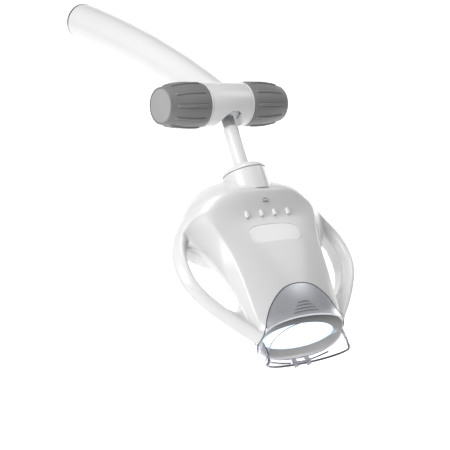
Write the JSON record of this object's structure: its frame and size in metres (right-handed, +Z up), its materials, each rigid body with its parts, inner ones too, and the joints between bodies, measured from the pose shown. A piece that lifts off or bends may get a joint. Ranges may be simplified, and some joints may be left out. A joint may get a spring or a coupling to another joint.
{
  "type": "teeth whitening lamp",
  "caption": "Dental whitening light: a white pebble-shaped head with side handles and a clear slip-on light guide, hung by a short stem from a friction hub on an arm.",
  "frame": {"origin": "centre of the flange face at the root of the arm", "axes": "+Z up, +X along the hub with its knobs to the user's right, -Y the way the arm reaches and the light shines; lengths in metres"},
  "size_m": [0.212, 0.4083, 0.3545],
  "materials": {
    "white_plastic": "satin white moulding",
    "grey_grip": "soft matte grey",
    "grey_cap": "matte mid grey",
    "steel": "turned",
    "brass": "turned",
    "satin_silver": "satin metallised",
    "clear_plastic": "clear moulding",
    "diffuser_white": "frosted lens",
    "board_green": "circuit board",
    "board_white": "white board with light sources",
    "black_plastic": "matte black moulding",
    "aluminium": "extruded",
    "silicone": "soft grey",
    "friction_fibre": "pressed fibre"
  },
  "bodies": {
    "arm": {"arm_with_hub": "white_plastic", "arm_root_insert": "steel", "hub_axle": "steel", "left_trim_ring": "white_plastic", "right_trim_ring": "white_plastic", "left_disc_spring": "steel", "right_disc_spring": "steel", "left_friction_disc": "friction_fibre", "right_friction_disc": "friction_fibre"},
    "left_tension_knob": {"left_knob": "grey_grip", "left_knob_cap": "grey_cap", "left_knob_nut": "brass"},
    "right_tension_knob": {"right_knob": "grey_grip", "right_knob_cap": "grey_cap", "right_knob_nut": "brass"},
    "stem": {"pivot_drum": "steel", "stem_rod": "steel", "stem_sleeve": "white_plastic", "swivel_cap": "white_plastic", "swivel_washer": "steel", "stem_nut": "brass"},
    "head": {"swivel_bush": "silicone", "neck_collar": "white_plastic", "front_shell": "white_plastic", "rear_shell": "white_plastic", "status_indicator": "clear_plastic", "label_plate": "white_plastic", "key_mat": "silicone", "control_board": "board_green", "driver_board": "board_green", "fan_frame": "black_plastic", "silver_hood": "satin_silver", "light_diffuser": "diffuser_white", "light_reflector": "satin_silver", "led_board": "board_white", "heat_sink": "aluminium", "shell_screw_1": "steel", "shell_screw_2": "steel", "shell_screw_3": "steel", "shell_screw_4": "steel"},
    "key_cap_1": {"key_1": "white_plastic"},
    "key_cap_2": {"key_2": "white_plastic"},
    "key_cap_3": {"key_3": "white_plastic"},
    "key_cap_4": {"key_4": "white_plastic"},
    "fan_wheel": {"fan_rotor": "black_plastic"},
    "slip_on_guide": {"light_guide": "clear_plastic"}
  },
  "joints": [
    {"name": "left_knob_turn", "type": "hinge", "parent": "arm", "child": "left_tension_knob", "pos_m": [0, -0.26521, -0.08975], "axis": [-1, 0, 0], "range_deg": [0, 180]},
    {"name": "right_knob_turn", "type": "hinge", "parent": "arm", "child": "right_tension_knob", "pos_m": [0, -0.26521, -0.08975], "axis": [1, 0, 0], "range_deg": [0, 180]},
    {"name": "head_tilt", "type": "hinge", "parent": "arm", "child": "stem", "pos_m": [0, -0.26521, -0.08975], "axis": [-1, 0, 0], "range_deg": [-50, 25]},
    {"name": "head_swivel", "type": "hinge", "parent": "stem", "child": "head", "pos_m": [0, -0.26521, -0.08975], "axis": [0, -0.454, -0.891], "range_deg": [-60, 60]},
    {"name": "key_1_press", "type": "slide", "parent": "head", "child": "key_cap_1", "axis": [0, 0.7986, -0.6018], "range_m": [0, 0.0007], "stiffness_N_per_m": 600},
    {"name": "key_2_press", "type": "slide", "parent": "head", "child": "key_cap_2", "axis": [0, 0.7986, -0.6018], "range_m": [0, 0.0007], "stiffness_N_per_m": 600},
    {"name": "key_3_press", "type": "slide", "parent": "head", "child": "key_cap_3", "axis": [0, 0.7986, -0.6018], "range_m": [0, 0.0007], "stiffness_N_per_m": 600},
    {"name": "key_4_press", "type": "slide", "parent": "head", "child": "key_cap_4", "axis": [0, 0.7986, -0.6018], "range_m": [0, 0.0007], "stiffness_N_per_m": 600},
    {"name": "fan_spin", "type": "hinge", "parent": "head", "child": "fan_wheel", "pos_m": [0, -0.33053, -0.2296], "axis": [0, 0.6018, 0.7986], "continuous": true},
    {"name": "guide_slip_off", "type": "slide", "parent": "head", "child": "slip_on_guide", "axis": [0, -0.7071, -0.7071], "range_m": [0, 0.03]}
  ]
}
